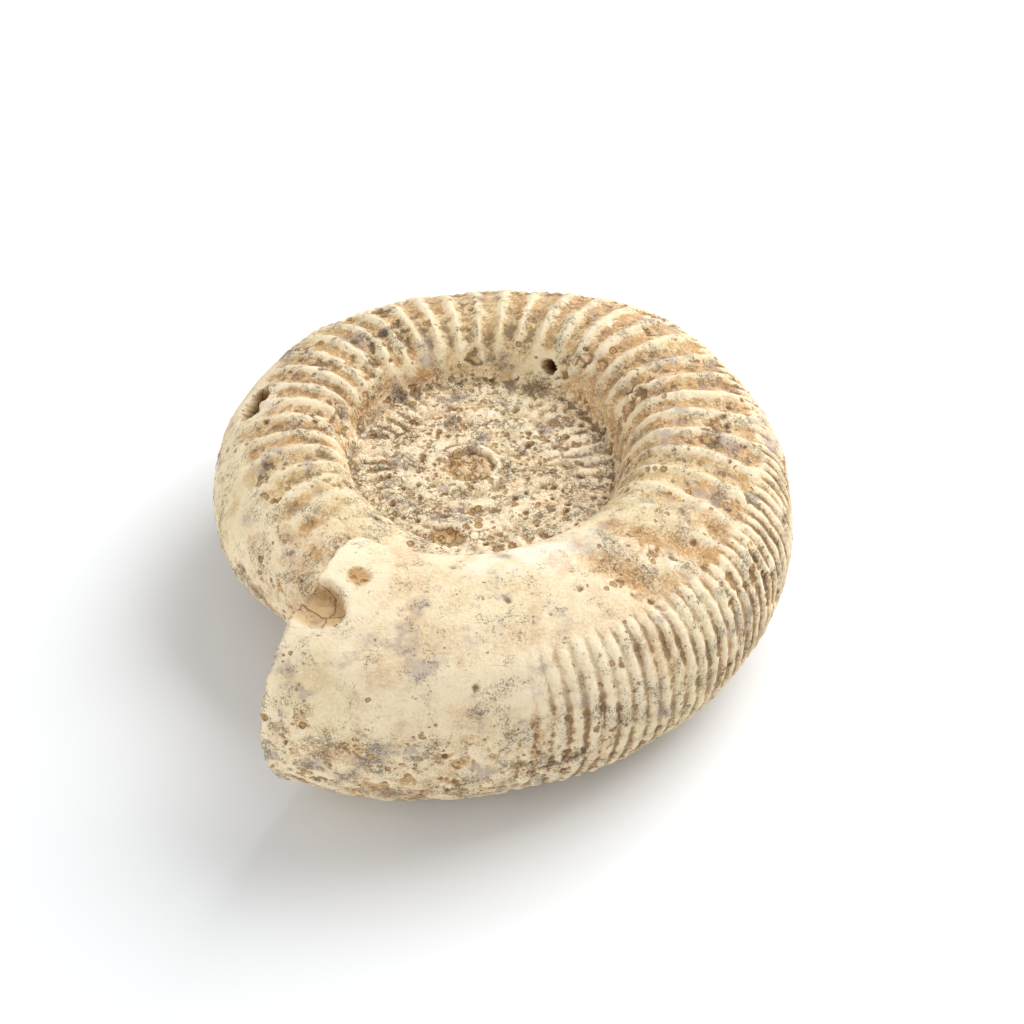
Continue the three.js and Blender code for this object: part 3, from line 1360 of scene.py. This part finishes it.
    def cracks(self, coat: Coat) -> None:
        """Lays the seams between the navel's grains and the fine crack in the chip.

        Args:
            coat: The coat.
        """
        seams, _ = cells(coat.loose, 1.7, 63, "DISTANCE_TO_EDGE")
        creviced = noise(coat.place, 5.0, 64, 3.0).ramp(0.48, 0.62) * coat.masks["navel"]
        cracks, _ = cells(coat.loose, 6.5, 65, "DISTANCE_TO_EDGE")
        cracked = cracks.ramp(0.17, 0.06) * coat.masks["hollow"] * (1.0 - coat.masks["hole_shade"])
        crevices = (seams.ramp(0.13, 0.04) * creviced).most(cracked)
        coat.lay(crevices * 0.55, self.grit)
        coat.sink(crevices * 0.2)

    def strew(self, coat: Coat, grit: EffectGroup, violet: Field, chalky: Field) -> None:
        """Strews dark grit, thick in the navel and on the lilac patches, thin where worn.

        Args:
            coat: The coat.
            grit: The grit effect.
            violet: The mask of the lilac patches.
            chalky: The mask of the chalky patches.
        """
        density = blended(coat.masks["worn"], 0.62, 0.06, coat.tree)
        density = blended(coat.masks["navel"], density, 0.66, coat.tree)
        density = density + coat.masks["crust"] * 0.25 + violet * 0.55 + coat.masks["flake"] * 0.3
        gritty = grit.placed(coat.tree, Place=coat.place, Amount=density - chalky * 0.6)
        specks = Field(coat.tree, gritty.outputs["Grit"])
        coat.lay(specks * 0.7, self.grit)
        coat.sink(specks * 0.05)

    def riddle(self, coat: Coat, vesicles: EffectGroup) -> None:
        """Riddles the stone with vesicles, bores and pits, and paints shade into the bottom of the holes.

        Args:
            coat: The coat.
            vesicles: The vesicle effect.
        """
        core, clustered = coat.masks["core"], noise(coat.place, 9.5, 58, 3.0).ramp(0.46, 0.66)
        outside = clustered * blended(coat.masks["worn"], 0.34, 0.16, coat.tree)
        share = blended(coat.masks["navel"], outside, clustered * 0.45 + 0.34, coat.tree)
        share = share.most(core * 0.7) + coat.masks["crust"] * 0.07
        bubbly = vesicles.placed(coat.tree, Place=coat.place, Share=share)
        ring, fill, heart = (Field(coat.tree, bubbly.outputs[name]) for name in ("Ring", "Fill", "Heart"))
        near, _ = cells(coat.loose, 1.3, 66)
        bores = near.ramp(0.52, 0.3) * core
        coat.lay(fill * 0.7, self.ochre)
        coat.lay(ring * 0.72, self.umber)
        coat.lay(heart * 0.5, self.umber)
        coat.lay(bores * 0.55, self.umber)
        coat.lay(coat.masks["pit"] * 0.6, self.umber)
        # painted shade: the bottom of the holes is darkened where little light reaches
        coat.lay(coat.masks["hole_shade"] * 0.9, self.dark)
        coat.sink(fill * 0.14 + heart * 0.12 + bores * 0.2 - ring * 0.03)

    def scratch(self, coat: Coat) -> None:
        """Lays scratches on the worn stretches, and the grain of the stone over everything.

        Args:
            coat: The coat.
        """
        worn = coat.masks["worn"]
        lines = streaks(coat.place, (0.16, 2.6, 2.2), 59).ramp(0.60, 0.74)
        lines = lines * worn * noise(coat.place, 8.0, 60).ramp(0.45, 0.6)
        coat.lay(lines * 0.45, self.tan)
        grain = (0.5 - noise(coat.place, 0.22, 61, 2.0, 0.7)) * blended(worn, 0.14, 0.06, coat.tree)
        coat.sink(lines * 0.03 + grain)


# ---------------------------------------------------------------- the studio


@dataclass(frozen=True)
class Lamp:
    """A square light that faces the stone.

    Attributes:
        name: Its name.
        spot: Where it stands, in metres.
        size: Its side, in metres.
        watts: Its power.
    """

    name: str
    spot: tuple[float, float, float]
    size: float
    watts: float

    def add(self) -> None:
        """Adds the light to the scene."""
        data = bpy.data.lights.new(self.name, "AREA")
        data.size = self.size
        data.energy = self.watts
        lamp = bpy.data.objects.new(self.name, data)
        lamp.location = self.spot
        lamp.rotation_euler = (-Vector(self.spot)).to_track_quat("-Z", "Y").to_euler()
        bpy.context.scene.collection.objects.link(lamp)


@dataclass
class Studio:
    """A pale floor, soft light and the camera.

    Attributes:
        aim: The point that the camera is set from, in millimetres.
        bearing: How far the camera has gone round the stone, in degrees.
        roll: How far it is rolled, in degrees.
        elevation: How steeply the camera looks down, in degrees.
        distance: From the camera to that point's plane, in millimetres.
        aside: How far the camera sits to the right of that point, and above it across its view.
        lens: Focal length on a 36 mm frame.
        lamps: A large key light behind the stone on the right, and a low fill light at the front left.
        glow: How bright the world is.
        paper: The floor's colour, cooled a little against the warm light that the stone throws.
        reach: Half the floor's side, in metres.
    """

    aim: tuple[float, float, float] = (-6.06, 8.28, 20.2)
    bearing: float = 1.85
    roll: float = -0.21
    elevation: float = 44.77
    distance: float = 491.9
    aside: tuple[float, float] = (8.19, -3.71)
    lens: float = 90.0
    lamps: tuple[Lamp, ...] = (
        Lamp("key", (0.56, 0.46, 0.70), 0.85, 12.3),
        Lamp("fill", (-0.75, -0.60, 0.22), 0.90, 5.5),
    )
    glow: float = 0.5
    paper: tuple[float, float, float] = (0.883, 0.9, 0.914)
    reach: float = 6.0

    def build(self) -> bpy.types.Object:
        """Adds the lights, the world, the camera and the floor.

        Returns:
            The floor.
        """
        self.add_camera()
        self.add_lights()
        scene = bpy.context.scene
        scene.view_settings.view_transform = "Standard"
        scene.view_settings.look = "None"
        return self.floor()

    def add_camera(self) -> None:
        """Adds the camera."""
        lean, swing = math.radians(90.0 - self.elevation), math.radians(self.bearing)
        turned = Euler((lean, 0.0, swing), "XYZ").to_matrix()
        right, up, back = turned.col
        data = bpy.data.cameras.new("camera")
        data.lens = self.lens
        data.clip_start = 0.01
        eye = bpy.data.objects.new("camera", data)
        spot = Vector(self.aim) + right * self.aside[0] + up * self.aside[1] + back * self.distance
        facing = turned @ Matrix.Rotation(math.radians(self.roll), 3, "Z")
        eye.matrix_world = Matrix.Translation(spot * MM) @ facing.to_4x4()
        bpy.context.scene.collection.objects.link(eye)
        bpy.context.scene.camera = eye

    def add_lights(self) -> None:
        """Adds the soft lights and an even white world."""
        for lamp in self.lamps:
            lamp.add()
        world = bpy.data.worlds.new("studio")
        world.use_nodes = True
        world.node_tree.nodes["Background"].inputs["Color"].default_value = (1.0, 1.0, 1.0, 1.0)
        world.node_tree.nodes["Background"].inputs["Strength"].default_value = self.glow
        bpy.context.scene.world = world

    def floor(self) -> bpy.types.Object:
        """Makes the pale floor."""
        mesh = bpy.data.meshes.new("floor")
        corners = [(x * self.reach, y * self.reach, 0.0) for x, y in ((-1, -1), (1, -1), (1, 1), (-1, 1))]
        mesh.from_pydata(corners, [], [(0, 1, 2, 3)])
        paper = bpy.data.materials.new("floor_paper")
        paper.use_nodes = True
        shader = paper.node_tree.nodes["Principled BSDF"]
        shader.inputs["Base Color"].default_value = (*self.paper, 1.0)
        shader.inputs["Roughness"].default_value = 0.95
        mesh.materials.append(paper)
        made = bpy.data.objects.new("floor", mesh)
        bpy.context.scene.collection.objects.link(made)
        return made


# ---------------------------------------------------------------- the build


def main() -> None:
    """Builds the fossil and the studio, and notes how large the fossil is."""
    logging.basicConfig(level=logging.INFO, format="%(message)s")
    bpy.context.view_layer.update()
    finish = FossilLimestone().material(grit_group(), vesicle_group())
    stone = Fossil().build(finish)
    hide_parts("ammonite")
    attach(stone, "root")
    LOG.info("fossil_stone: %d triangles", sum(len(face.vertices) - 2 for face in stone.data.polygons))
    Studio().build()


if __name__ == "__main__":
    main()
